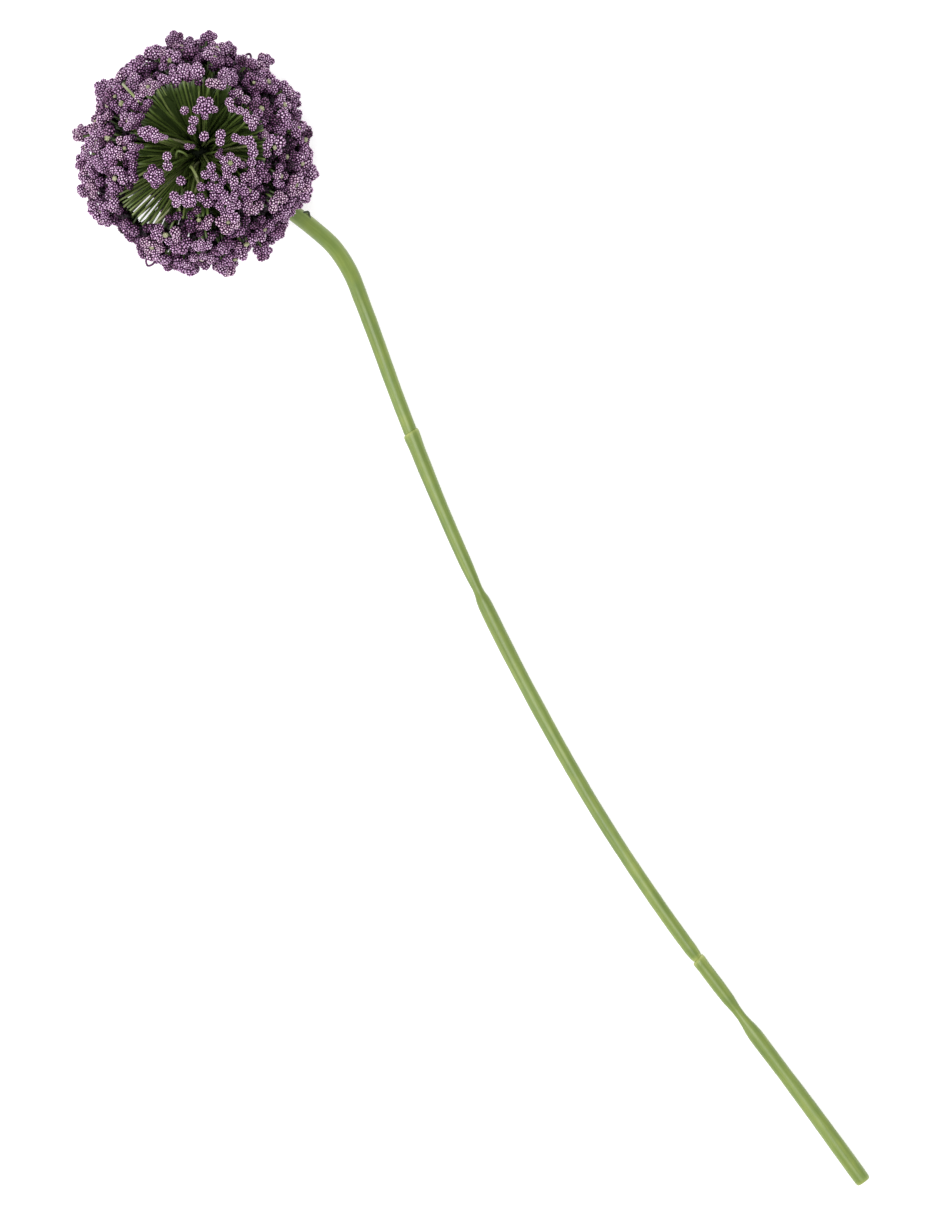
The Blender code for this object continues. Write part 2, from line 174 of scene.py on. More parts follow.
# Groups of berries, as (along, sideways, outwards, size) in berry radii from the group's middle.
GROUPS = {
    "single": [(0.0, 0.0, 0.0, 1.0)],
    "small": [(0.0, 0.0, 0.0, 0.72), (0.9, 0.3, -0.6, 0.5)],
    "trio": [(1.0, 0.2, 0.0, 1.0), (-0.7, 0.9, 0.1, 0.92), (-0.6, -0.9, -0.1, 0.88)],
    "tall": [(0.65, 0.0, 0.1, 1.02), (-0.75, 0.1, 0.0, 0.95)],
    "pair": [(0.95, -0.2, 0.0, 1.0), (-0.95, 0.1, 0.1, 0.95)],
    "row": [
        (-2.3, 0.1, -0.2, 0.78), (-0.9, -0.1, 0.1, 0.85), (0.6, 0.1, 0.0, 1.0),
        (1.5, -0.7, -0.3, 0.9),
    ],
    "chain": [
        (-3.3, 0.4, -0.1, 0.9), (-2.3, -0.5, 0.1, 0.8), (-0.8, 0.1, 0.1, 0.85),
        (0.5, 0.5, 0.0, 0.8), (1.6, -0.3, 0.1, 1.0), (2.8, 0.4, 0.0, 1.0), (3.2, -0.9, -0.3, 0.9),
    ],
    "knot": [
        (1.3, 0.4, 0.1, 1.0), (0.2, 1.2, 0.3, 1.05), (-0.2, -0.5, 0.5, 1.1), (-1.4, 0.6, 0.0, 1.0),
        (1.1, -1.3, -0.2, 0.9), (-1.2, -1.3, -0.2, 0.8),
    ],
    "lobes": [
        (-1.9, 0.5, 0.0, 1.0), (-1.5, -0.9, 0.1, 0.95), (-0.5, -0.1, 0.2, 0.9),
        (1.2, 0.6, 0.1, 1.05), (1.7, -0.7, 0.0, 0.95), (0.5, -1.2, -0.3, 0.8),
    ],
    "oval": [
        (-2.2, 0.2, 0.1, 0.9), (-1.0, 0.6, 0.2, 1.0), (-0.9, -0.7, 0.1, 0.9), (0.6, 0.3, 0.2, 1.0),
        (0.9, -0.8, 0.0, 0.8), (2.1, -0.2, -0.1, 0.7), (3.1, -0.1, -0.2, 0.45),
    ],
}
# The kind "ring" has this many equal berries round a pale bud.
RING_BERRIES = 5
RING_RADIUS = 1.35
RING_SIZE = 0.82
# Kind of group and turn in degrees for each crown node in order.
CROWN_GROUPS = [
    ("single", 147), ("knot", 100), ("pair", 147), ("single", 147), ("tall", 147), ("pair", 158),
    ("knot", 10), ("single", 0), ("lobes", 57), ("oval", 46), ("chain", 28), ("row", 49),
    ("pair", 147), ("trio", 130), ("ring", 0), ("trio", 20),
]
# More groups of the crown, as (bearing, angle from straight up, kind, turn, rise).
CROWN_EXTRAS = [
    (258, 4.5, "small", 40, -0.002), (31, 13.9, "small", 100, -0.003),
    (13, 25.5, "pair", 20, -0.001), (340, 23.5, "pair", 70, -0.002),
    (131, 34.0, "tall", 57, 0.0), (124, 36.0, "single", 0, -0.001),
    (187, 41.0, "ring", 0, 0.001), (240, 33.0, "small", 57, -0.001),
    (262, 42.0, "pair", 60, -0.001), (10, 34.0, "trio", 60, -0.002),
    (335, 31.0, "pair", 20, -0.002), (26, 35.0, "trio", 10, -0.002),
    (3, 25.0, "single", 0, -0.003), (200, 36.0, "small", 140, -0.002),
    (217, 38.0, "pair", 100, -0.002), (33, 28.0, "small", 20, -0.003),
    (151, 42.0, "lobes", 60, 0.000), (167, 40.5, "trio", 10, -0.001),
    (178, 42.0, "pair", 120, -0.001), (104, 38.0, "pair", 30, -0.002),
    (66, 40.0, "small", 110, -0.002), (250, 37.0, "pair", 150, -0.002),
]
# Green fans in the crown, as (bearing, degrees beyond the crown's edge, half width, strands), how
# far they reach from the hub's middle, and how thick the web between their strands is.
FANS = [
    (150, 1, 0.0040, 5), (161, 0, 0.0042, 6), (172, 1, 0.0048, 6), (184, 2, 0.0036, 5),
    (197, 2, 0.0030, 4), (212, 3, 0.0030, 4), (226, 2, 0.0024, 3), (241, 2, 0.0028, 4),
    (255, 2, 0.0026, 4), (319, 4, 0.0022, 3), (332, 5, 0.0024, 3), (352, 5, 0.0026, 4),
    (12, 6, 0.0026, 4), (30, 5, 0.0034, 5), (44, 4, 0.0040, 6), (57, 3, 0.0034, 5),
    (72, 2, 0.0030, 4), (88, 2, 0.0028, 4), (103, 3, 0.0030, 4), (119, 3, 0.0030, 4),
    (135, 3, 0.0032, 4),
]
FAN_REACH = 0.0452
FAN_STEPS = 9
WEB_THICK = 0.00025
# Bearing and half width of the sectors where stalks are few and the floor shows between them. They
# leave out what lies nearer the top or bottom than this height, as a share of the distance.
THIN_SECTORS = [(284, 20), (314, 6), (104, 5), (91, 5)]
THIN_HEIGHT = 0.85
# An open comb of single stalks in the first of them: first and last bearing, angle from straight
# up and number of stalks, then how far they reach and how thick they are.
COMB = (265.0, 303.0, 59.0, 14)
COMB_REACH = 0.0462
COMB_THICK = 0.00046
# Strands to each rosette, the points along one, how thick one is, where its root lies as a share of
# the hub's radius, and how much light one under the florets gets.
STRANDS_EACH = 6
STRAND_STEPS = 7
STRAND_THICK = 0.00056
STRAND_ROOT = 0.93
FAN_ROOT = 0.95
BURIED_LIGHT = 0.42
# Stray stalks, as (stops, tone, thickness), with each stop as (bearing, angle from straight up,
# millimetres from the hub's middle).
STRAYS = [
    ([(300, 25, 9.5), (306, 22, 24), (314, 17, 33), (328, 23, 36), (324, 36, 33)], 0.70, 0.00065),
    (
        [
            (262, 24, 9.5), (265, 20, 26), (263, 17, 34), (254, 13, 36.5), (266, 10.5, 35.5),
            (283, 11, 31),
        ],
        0.55, 0.00050,
    ),
    ([(205, 8, 9.5), (195, 9, 22), (221, 17, 30), (223, 27, 36), (224, 33, 43)], 0.50, 0.00055),
    ([(200, 40, 47.5), (198, 49, 49.3), (197, 58, 49.0), (196, 63, 47.0)], 0.74, 0.00060),
    (
        [(25.5, 116, 52.0), (27.3, 116.3, 55.3), (29.2, 116.8, 57.6), (27, 116.5, 59.7)],
        0.02, 0.00050,
    ),
]
# A stray stalk that starts nearer the hub's middle than this, in millimetres, is the crown's.
CROWN_ROOT = 10.0
BENT_STEPS = 6
BENT_SIDES = 7
# Hairpins of thin stalk beyond the florets, as (bearing, angle from straight up, foot, reach, half
# width), the last three in millimetres. Their outline is (aside in half widths, share of the reach).
LOOPS = [(120.5, 90, 41.5, 47.2, 1.4), (302, 91, 48.0, 54.0, 1.7)]
LOOP_OUTLINE = [
    (-0.8, 0.0), (-1.1, 0.5), (-0.85, 0.8), (0.0, 1.0), (0.85, 0.8), (1.1, 0.5), (0.8, 0.0),
]
LOOP_THICK = 0.00048
LOOP_TIP = 0.36
LOOP_TONE = 0.2


def unit(vector):
    """The vector, or each row of an array of them, at length one."""
    return vector / np.linalg.norm(vector, axis=-1, keepdims=True)


def polar(bearing, from_top):
    """The unit vector at a bearing from +X and an angle from straight up, in degrees."""
    turn, tilt = math.radians(bearing), math.radians(from_top)
    level = math.sin(tilt)
    return np.array([level * math.cos(turn), level * math.sin(turn), math.cos(tilt)])


def across(axis):
    """Two unit vectors square to an axis and to each other."""
    helper = np.array([0.0, 0.0, 1.0]) if abs(axis[2]) < 0.9 else np.array([1.0, 0.0, 0.0])
    first = unit(np.cross(helper, axis))
    return first, np.cross(axis, first)


def spiral(count, turn=0.0):
    """Directions shared out evenly over the whole sphere, on a golden spiral."""
    steps = np.arange(count)
    heights = 1.0 - (2.0 * steps + 1.0) / count
    level = np.sqrt(1.0 - heights**2)
    bearings = turn + math.pi * (3.0 - math.sqrt(5.0)) * steps
    return np.stack([level * np.cos(bearings), level * np.sin(bearings), heights], axis=1)


def around(table, bearing):
    """A value read from a table of (bearing in degrees, value), with the bearing in radians."""
    stops, values = zip(*table)
    return float(np.interp(math.degrees(bearing) % 360.0, stops, values))


def random_turn():
    """A random rotation as a 3 by 3 array."""
    first = unit(RANDOM.normal(size=3))
    second = unit(np.cross(first, RANDOM.normal(size=3)))
    return np.stack([first, second, np.cross(first, second)], axis=1)


HUB = np.array(sum(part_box("head_hub"), Vector())) / 2.0
SPRAYS = sorted(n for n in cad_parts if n.startswith("spray") and n.endswith("_florets"))
CROWN = sorted(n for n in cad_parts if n.startswith("crown_florets"))


def node_way(node):
    """The direction from the hub to the middle of a node's corners."""
    corners = np.array([v.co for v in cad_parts[node].data.vertices])
    return unit(corners.mean(axis=0) - HUB)


SPRAY_WAYS = np.array([node_way(node) for node in SPRAYS])
CROWN_WAYS = np.array([node_way(node) for node in CROWN])
STEM_WAY = unit(np.array(STEM_ROUTE[1]) - np.array(STEM_ROUTE[0]))


class Heap:
    """Small closed shapes gathered into one mesh, with named values at every corner."""

    def __init__(self, *names):
        self.names = names
        self.corners = []
        self.faces = []
        self.values = []
        self.count = 0

    def add(self, corners, faces, *values):
        """Each value is one number for the whole shape, or one for each corner."""
        self.corners.append(corners)
        self.faces.append(faces + self.count)
        self.values.append(np.stack([np.broadcast_to(v, len(corners)) for v in values], axis=1))
        self.count += len(corners)

    def piece(self, name, skin, slot, *nodes):
        """The heap as one object that rides on the root and stands for CAD nodes."""
        mesh = bpy.data.meshes.new(name)
        mesh.from_pydata(np.concatenate(self.corners), [], np.concatenate(self.faces))
        values = np.concatenate(self.values)
        for k, label in enumerate(self.names):
            layer = mesh.attributes.new(label, "FLOAT", "POINT")
            layer.data.foreach_set("value", values[:, k].astype(np.float32))
        mesh.shade_smooth()
        settle(mesh, skin, slot, *nodes)


def settle(mesh, skin, slot, *nodes):
    """Puts a mesh in the scene, with its material and body, and hides the CAD nodes it stands for;
    the slot is not used.
    """
    made = bpy.data.objects.new(mesh.name, mesh)
    bpy.context.scene.collection.objects.link(made)
    mesh.materials.append(skin)
    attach(made, "root")
    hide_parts(*nodes)


# Materials.


def new_material(name):
    """A material, its Principled shader, and the functions that add a node and join two sockets."""
    made = bpy.data.materials.new(name)
    made.use_nodes = True
    tree = made.node_tree
    shader = tree.nodes["Principled BSDF"]

    def add(kind, **settings):
        node = tree.nodes.new(kind)
        for key, value in settings.items():
            if key in node.inputs:
                node.inputs[key].default_value = value
            else:
                setattr(node, key, value)
        return node

    return made, shader, add, tree.links.new


def ramp(add, stops):
    """A colour ramp with (position, (red, green, blue)) stops."""
    node = add("ShaderNodeValToRGB")
    points = node.color_ramp.elements
    while len(points) < len(stops):
        points.new(0.5)
    for point, (position, colour) in zip(points, stops):
        point.position = position
        point.color = (*colour, 1.0)
    return node


def multiplied(add, join, first, second):
    """The product of two colours."""
    node = add("ShaderNodeMix", data_type="RGBA", blend_type="MULTIPLY")
    node.inputs["Factor"].default_value = 1.0
    join(first, node.inputs[6])
    join(second, node.inputs[7])
    return node.outputs[2]


def floret_skin():
    """Foam granules: purple, painted near black between them as shade and pink-white on their tips
    as a highlight, each berry a little different.
    """
    made, shader, add, join = new_material("floret_purple")
    # The tip value is each corner's granule height, lowered on deep berries for painted shade.
    tip = add("ShaderNodeAttribute", attribute_name="tip")
    tone = add("ShaderNodeAttribute", attribute_name="tone")
    place = add("ShaderNodeTexCoord")
    grain = add("ShaderNodeTexNoise", Scale=1100.0, Detail=2.0, Roughness=0.6)
    join(place.outputs["Object"], grain.inputs["Vector"])
    centred = add("ShaderNodeMath", operation="SUBTRACT")
    centred.inputs[1].default_value = 0.5
    join(grain.outputs["Fac"], centred.inputs[0])
    height = add("ShaderNodeMath", operation="MULTIPLY_ADD")
    height.inputs[1].default_value = 0.45
    join(centred.outputs[0], height.inputs[0])
    join(tip.outputs["Fac"], height.inputs[2])
    # Granule height picks the colour: painted shade in valleys and pits, the purple itself between,
    # a painted highlight on the tips.
    colours = ramp(
        add,
        [
            (0.14, (0.006, 0.001, 0.005)),
            (0.30, (0.060, 0.012, 0.056)),
            (0.44, (0.345, 0.155, 0.325)),
            (0.60, (0.800, 0.545, 0.775)),
            (0.78, (1.000, 0.900, 0.985)),
        ],
    )
    join(height.outputs[0], colours.inputs["Fac"])
    # Lower tones are darker: a random difference for most berries, and painted shade for those in
    # the gaps.
    tint = ramp(
        add,
        [
            (0.0, (0.20, 0.11, 0.18)),
            (0.16, (0.50, 0.36, 0.47)),
            (0.42, (0.86, 0.78, 0.88)),
            (0.8, (1.0, 0.98, 1.0)),
            (1.0, (1.0, 1.0, 0.93)),
        ],
    )
    join(tone.outputs["Fac"], tint.inputs["Fac"])
    mixed = multiplied(add, join, colours.outputs["Color"], tint.outputs["Color"])
    join(mixed, shader.inputs["Base Color"])
    bump = add("ShaderNodeBump", Strength=0.3, Distance=0.0001)
    join(grain.outputs["Fac"], bump.inputs["Height"])
    join(bump.outputs["Normal"], shader.inputs["Normal"])
    shader.inputs["Roughness"].default_value = 0.55
    shader.inputs["Specular IOR Level"].default_value = 0.20
    return made


def stalk_skin():
    """Moulded green plastic, a tone of its own for each strand, and painted shade that is darkest
    near the hub.
    """
    made, shader, add, join = new_material("stalk_green")
    tone = add("ShaderNodeAttribute", attribute_name="tone")
    out = add("ShaderNodeAttribute", attribute_name="out")
    place = add("ShaderNodeTexCoord")
    grain = add("ShaderNodeTexNoise", Scale=260.0, Detail=3.0, Roughness=0.6)
    join(place.outputs["Object"], grain.inputs["Vector"])
    blend = add("ShaderNodeMath", operation="MULTIPLY_ADD")
    blend.inputs[1].default_value = 0.20
    join(grain.outputs["Fac"], blend.inputs[0])
    join(tone.outputs["Fac"], blend.inputs[2])
    greens = ramp(
        add,
        [
            (0.0, (0.009, 0.015, 0.005)),
            (0.30, (0.036, 0.060, 0.012)),
            (0.60, (0.100, 0.150, 0.030)),
            (0.82, (0.205, 0.245, 0.085)),
            (1.0, (0.450, 0.430, 0.290)),
        ],
    )
    join(blend.outputs[0], greens.inputs["Fac"])
    # Painted shade: dark at each strand's root by the hub, and on strands buried under the florets.
    shade = ramp(
        add,
        [
            (0.0, (0.28, 0.30, 0.28)),
            (0.35, (0.85, 0.85, 0.82)),
            (1.0, (1.0, 1.0, 1.0)),
        ],
    )
    join(out.outputs["Fac"], shade.inputs["Fac"])
    mixed = multiplied(add, join, greens.outputs["Color"], shade.outputs["Color"])
    join(mixed, shader.inputs["Base Color"])
    shader.inputs["Roughness"].default_value = 0.38
    shader.inputs["Specular IOR Level"].default_value = 0.5
    return made


def sleeve_skin():
    """Satin soft plastic: long pale and dark streaks, part painted highlight, faint mottling,
    painted end glow.
    """
    made, shader, add, join = new_material("sleeve_green")
    run = add("ShaderNodeAttribute", attribute_name="run")
    stretch = add("ShaderNodeMapping")
    stretch.inputs["Scale"].default_value = (22.0, 420.0, 420.0)
    join(run.outputs["Vector"], stretch.inputs["Vector"])
    streaks = add("ShaderNodeTexNoise", Scale=1.0, Detail=5.0, Roughness=0.62)
    join(stretch.outputs["Vector"], streaks.inputs["Vector"])
    mottle = add("ShaderNodeTexNoise", Scale=140.0, Detail=3.0, Roughness=0.55)
    join(run.outputs["Vector"], mottle.inputs["Vector"])
    # The pale streaks are partly the plastic's own streaky colour and partly painted highlight.
    colours = ramp(
        add,
        [
            (0.28, (0.122, 0.174, 0.026)),
            (0.50, (0.172, 0.230, 0.042)),
            (0.72, (0.242, 0.298, 0.072)),
        ],
    )
    join(streaks.outputs["Fac"], colours.inputs["Fac"])
    clouds = ramp(add, [(0.32, (0.80, 0.88, 0.90)), (0.68, (1.0, 1.0, 0.94))])
    join(mottle.outputs["Fac"], clouds.inputs["Fac"])
    mixed = multiplied(add, join, colours.outputs["Color"], clouds.outputs["Color"])
    # Painted glow: the sleeves' ends are painted paler, as light through the thin plastic.
    wear = add("ShaderNodeAttribute", attribute_name="wear")
    pale = ramp(add, [(0.0, (1.0, 1.0, 1.0)), (1.0, (1.9, 1.6, 2.4))])
    join(wear.outputs["Fac"], pale.inputs["Fac"])
    mixed = multiplied(add, join, mixed, pale.outputs["Color"])
    join(mixed, shader.inputs["Base Color"])
    gloss = add("ShaderNodeMapRange")
    gloss.inputs["To Min"].default_value = 0.28
    gloss.inputs["To Max"].default_value = 0.46
    join(streaks.outputs["Fac"], gloss.inputs["Value"])
    join(gloss.outputs["Result"], shader.inputs["Roughness"])
    bump = add("ShaderNodeBump", Strength=0.35, Distance=0.00015)
    join(streaks.outputs["Fac"], bump.inputs["Height"])
    join(bump.outputs["Normal"], shader.inputs["Normal"])
    return made


def plain_skin(name, low, high, roughness, metallic, scale):
    """A colour that wanders between two shades, for the hub, the wire and the floor."""
    made, shader, add, join = new_material(name)
    place = add("ShaderNodeTexCoord")
    grain = add("ShaderNodeTexNoise", Scale=scale, Detail=3.0)
    join(place.outputs["Object"], grain.inputs["Vector"])
    colours = ramp(add, [(0.3, low), (0.7, high)])
    join(grain.outputs["Fac"], colours.inputs["Fac"])
    join(colours.outputs["Color"], shader.inputs["Base Color"])
    shader.inputs["Roughness"].default_value = roughness
    shader.inputs["Metallic"].default_value = metallic
    shader.inputs["Specular IOR Level"].default_value = 0.15
    return made


# Florets.


def berry_template(granules, rough):
    """A unit ball of raised granules: corners, triangles and how high each corner stands."""
    tips = unit(spiral(granules) + RANDOM.normal(scale=GRANULE_SCATTER, size=(granules, 3)))
    shape = bmesh.new()
    for tip in tips:
        shape.verts.new(tip)
    bmesh.ops.convex_hull(shape, input=shape.verts[:])
    shape.verts.index_update()
    hull = [[corner.index for corner in face.verts] for face in shape.faces]
    shape.free()

    lift = 1.0 - rough * RANDOM.random(granules)
    corners = [tip * (GRANULE_TOP + GRANULE_LIFT * up) for tip, up in zip(tips, lift)]
    height = list(lift)
    known = {}
    own, others = SHOULDER_SHARES

    def corner(key, place, radius, value):
        """The number of the corner with this key, which is made the first time."""
        if key not in known:
            known[key] = len(corners)
            corners.append(unit(place) * radius)
            height.append(value)
        return known[key]

    faces = []
    for a, b, c in hull:
        pit = corner((a, b, c), tips[a] + tips[b] + tips[c], GRANULE_PIT, 0.0)
        for tip, after, before in ((a, b, c), (b, c, a), (c, a, b)):
            valleys = []
            shoulders = []
            for other in (after, before):
                edge = (min(tip, other), max(tip, other))
                between = tips[tip] + tips[other]
                valleys.append(corner(edge, between, GRANULE_VALLEY, VALLEY_HEIGHT))
                place = tips[tip] * own + tips[other] * others
                level = GRANULE_SHOULDER + GRANULE_LIFT * lift[tip]
                value = SHOULDER_HEIGHT * lift[tip]
                shoulders.append(corner((tip, other, 0), place, level, value))
            faces.append((tip, shoulders[0], shoulders[1]))
            faces.append((shoulders[0], valleys[0], pit))
            faces.append((shoulders[0], pit, shoulders[1]))
            faces.append((shoulders[1], pit, valleys[1]))
    return np.array(corners), np.array(faces), np.array(height)


BERRIES = [berry_template(GRANULES, rough=0.30) for _ in range(5)]
LOW_BERRIES = [berry_template(LOW_GRANULES, rough=0.50) for _ in range(3)]
BUDS = [berry_template(BUD_GRANULES, rough=0.6) for _ in range(3)]


class Bloom:
    """Every berry of the head: the places of their middles, and a heap for each floret node."""

    def __init__(self):
        self.places = []
        self.heaps = {node: Heap("tip", "tone") for node in SPRAYS + CROWN}

    def add(self, place, size, tone, owner, kinds=BERRIES):
        """One berry, lifted where it would reach below the floor, with painted shade deep down."""
        place = np.array([place[0], place[1], max(place[2], FLOOR_GAP + size)])
        corners, faces, height = kinds[RANDOM.integers(len(kinds))]
        squash = 1.0 + RANDOM.uniform(-BERRY_SQUASH, BERRY_SQUASH, size=3)
        turned = place + size * (corners * squash) @ random_turn().T
        top = np.linalg.norm(shell(unit(place - HUB)) - HUB)
        rise = np.linalg.norm(turned - HUB, axis=1) - top
        # Corners deeper than the shell get lower tip values, which paints shade on them.
        light = DIMMEST + (1.0 - DIMMEST) * (1.0 + (rise - LIT_RISE) / DIM_DEPTH)
        light = np.clip(light, DIMMEST, 1.0)
        self.heaps[owner].add(turned, faces, height * light, tone)
        self.places.append(place)

    def room(self, place):
        """How far a place is from the closest berry's middle."""
        return np.linalg.norm(np.array(self.places) - place, axis=1).min()


def shell(way, rise=0.0):
    """The place where a berry's middle sits in one direction from the hub."""
    swell = around(SWELL, math.atan2(way[1], way[0])) * MM * (1.0 - way[2] ** 2)
    return HUB + way * (SHELL_RADIUS + SHELL_SHIFT @ way + swell + rise)


def owner_of(way):
    """The spray's floret node that is closest to this direction."""
    return SPRAYS[int(np.argmax(SPRAY_WAYS @ way))]


def covered(way, margin=0.0):
    """Whether florets grow here: outside the crown by a margin, the stem's way and the openings."""
    tilt = math.degrees(math.acos(float(np.clip(way[2], -1.0, 1.0)))) - margin
    if tilt < around(CROWN_EDGE, math.atan2(way[1], way[0])):
        return False
    if way @ STEM_WAY > math.cos(STEM_OPENING):
        return False
    return all(
        way @ polar(bearing, from_top) < math.cos(math.radians(radius))
        for bearing, from_top, radius in OPENINGS
    )


def umbel_ways():
    """Directions of the floret groups: shared out, then moved a few times to even their room."""
    ground = np.array([way for way in spiral(9000) if covered(way)])
    ways = ground[RANDOM.permutation(len(ground))[:UMBELS]]
    for _ in range(UMBEL_ROUNDS):
        owners = np.argmax(ground @ ways.T, axis=1)
        ways = unit(np.array([ground[owners == k].mean(axis=0) for k in range(len(ways))]))
    return ways


def add_umbel(bloom, tips, way, rise, owner, full=False):
    """A domed rosette of berries round a pale stalk tip, which a full one hides."""
    tilt = unit(way + RANDOM.normal(scale=0.16, size=3))
    first, second = across(tilt)
    middle = shell(way, rise)
    tone = RANDOM.uniform(0.15, 1.0)
    count = 5 if full else int(RANDOM.integers(5, 8))
    scale = RANDOM.uniform(0.84, 1.04)
    tightness = 0.80 if full else RANDOM.uniform(0.84, 0.97)
    ring = scale * BERRY_RADIUS * tightness / math.sin(math.pi / count)
    start = RANDOM.uniform(0.0, math.tau)
    missing = RANDOM.integers(0, 14)
    for k in range(count):
        if k == missing:
            continue
        turn = start + math.tau * k / count + RANDOM.normal(scale=0.10)
        size = scale * BERRY_RADIUS * RANDOM.uniform(0.90, 1.10)
        side = math.cos(turn) * first + math.sin(turn) * second
        side = ring * RANDOM.uniform(0.88, 1.08) * side
        drop = -0.30 * ring + RANDOM.normal(scale=0.0006)
        shade = float(np.clip(tone + RANDOM.normal(scale=0.20), 0.0, 1.0))
        bloom.add(middle + side + tilt * drop, size, shade, owner)
    if full or RANDOM.random() < 0.40:
        bloom.add(middle + tilt * 0.0006, scale * BERRY_RADIUS, tone, owner)
    if full:
        for side in (first, second - first, -second):
            place = middle - tilt * PROP_DEPTH + side * PROP_SPREAD
            bloom.add(place, BERRY_RADIUS, PROP_TONE, owner)
    tips.append((middle - tilt * RANDOM.uniform(0.0002, 0.0012), tilt, owner, True))


def fill_gaps(bloom, tips):
    """Low berries in the wider gaps between the rosettes, given dark tones as painted shade."""
    loose = RANDOM.normal(scale=0.02, size=(FILL_TRIES, 3))
    for way in unit(spiral(FILL_TRIES, 1.1) + loose):
        if not covered(way):
            continue
        place = shell(way, RANDOM.uniform(-0.0048, -0.0026))
        if bloom.room(place) > BERRY_RADIUS * FILL_ROOM and RANDOM.random() < FILL_CHANCE:
            size = BERRY_RADIUS * RANDOM.uniform(0.8, 1.0)
            # Their low tones paint the shade in the gaps.
            bloom.add(place, size, RANDOM.uniform(0.14, 0.50), owner_of(way))
            tips.append((place, way, owner_of(way), False))


def line_gaps(bloom):
    """Berries deep below the gaps that are still open, painted very dark as shade."""
    tops = list(bloom.places)
    for way in spiral(LINING_TRIES, 2.3):
        if not covered(way, LINING_MARGIN):
            continue
        top = shell(way, LINING_TOP)
        if np.linalg.norm(np.array(tops) - top, axis=1).min() > BERRY_RADIUS * LINING_ROOM:
            tops.append(top)
            place = shell(way, RANDOM.uniform(-0.0070, -0.0050))
            # A tone near nought paints them near black, as the shade deep in the gaps.
            bloom.add(place, BERRY_RADIUS, RANDOM.uniform(0.0, 0.10), owner_of(way), LOW_BERRIES)


def add_group(bloom, tips, way, rise, kind, turn, owner):
    """A group of the crown, laid out as its kind says and turned to a bearing in radians."""
    along = np.array([math.cos(turn), math.sin(turn), 0.0])
    along = unit(along - way * (along @ way))
    sideways = np.cross(way, along)
    middle = HUB + way * (SHELL_RADIUS + rise)
    # The crown's berries get only the lighter tones: painted light on the top of the head.
    tone = RANDOM.uniform(0.55, 1.0)
    if kind == "ring":
        turns = [math.tau * k / RING_BERRIES for k in range(RING_BERRIES)]
        cells = [
            (RING_RADIUS * math.cos(t), RING_RADIUS * math.sin(t), -0.2, RING_SIZE) for t in turns
        ]
        tips.append((middle + way * 0.0003, way, "crown", True))
    else:
        cells = GROUPS[kind]
    for ahead, side, out, size in cells:
        place = middle + BERRY_RADIUS * (ahead * along + side * sideways + out * way)
        bloom.add(place, BERRY_RADIUS * size * RANDOM.uniform(0.95, 1.05), tone, owner)
        tips.append((place - way * 0.0012, way, "crown", False))


def tube(heap, line, thick, wide, flat_way, tone, out, sides=6):
    """A closed bar along a line, oval where its width is not its thickness."""
    ways = unit(np.gradient(line, axis=0))
    first = unit(flat_way - (ways @ flat_way)[:, None] * ways)
    second = np.cross(ways, first)
    turns = np.arange(sides) * math.tau / sides
    level = (wide[:, None] * np.cos(turns)[None, :])[..., None] * first[:, None, :]
    upright = (thick[:, None] * np.sin(turns)[None, :])[..., None] * second[:, None, :]
    corners = (line[:, None, :] + level + upright).reshape(-1, 3)
    faces = []
    last = (len(line) - 1) * sides
    for base in range(0, last, sides):
        for k in range(sides):
            a, b = base + k, base + (k + 1) % sides
            faces += [(a, b, b + sides), (a, b + sides, a + sides)]
    for k in range(1, sides - 1):
        faces += [(0, k + 1, k), (last, last + k, last + k + 1)]
    heap.add(corners, np.array(faces), tone, np.repeat(out, sides))


def bow(start, end, bend, steps):
    """A gently bent line between two places."""
    t = np.linspace(0.0, 1.0, steps)[:, None]
    return (1 - t) * start + t * end + 4 * t * (1 - t) * bend


def add_strand(heap, start, end, bend, tone, thick=STRAND_THICK, light=1.0):
    """One thin stalk from the hub to a group of florets, with less light where it is buried."""
    t = np.linspace(0.0, 1.0, STRAND_STEPS)
    radii = thick * (1.12 - 0.24 * t)
    line = bow(start, end, bend, STRAND_STEPS)
    square, _ = across(unit(end - start))
    tube(heap, line, radii, radii, square, tone, t * light)


class SmoothLine:
    """The smooth curve through a list of points, read by the distance along it."""

    def __init__(self, points):
        self.points = np.array(points)
        chords = np.linalg.norm(np.diff(self.points, axis=0), axis=1)
        self.knots = np.concatenate([[0.0], np.cumsum(chords)])
        self.slopes = np.gradient(self.points, self.knots, axis=0)

    def at(self, along):
        """Points and unit directions at distances along the curve."""
        k = np.clip(np.searchsorted(self.knots, along) - 1, 0, len(self.knots) - 2)
        span = (self.knots[k + 1] - self.knots[k])[:, None]
        t = (along - self.knots[k])[:, None] / span
        start, end = self.points[k], self.points[k + 1]
        leave, arrive = self.slopes[k] * span, self.slopes[k + 1] * span
        place = (
            (2 * t**3 - 3 * t**2 + 1) * start
            + (t**3 - 2 * t**2 + t) * leave
            + (3 * t**2 - 2 * t**3) * end
            + (t**3 - t**2) * arrive
        )
        way = (
            (6 * t**2 - 6 * t) * (start - end)
            + (3 * t**2 - 4 * t + 1) * leave
            + (3 * t**2 - 2 * t) * arrive
        )
        return place, unit(way)


def add_bent(heap, points, thick, first, second):
    """A bent thin stalk through points, with the two values that its heap's material reads."""
    chords = np.diff(np.array(points), axis=0)
    square = unit(np.cross(chords[:-1], chords[1:]).sum(axis=0))
    line = SmoothLine(points)
    place, _ = line.at(np.linspace(0.0, line.knots[-1], BENT_STEPS * len(points)))
    radii = np.full(len(place), thick)
    tube(heap, place, radii, radii, square, first, np.full(len(place), second), BENT_SIDES)


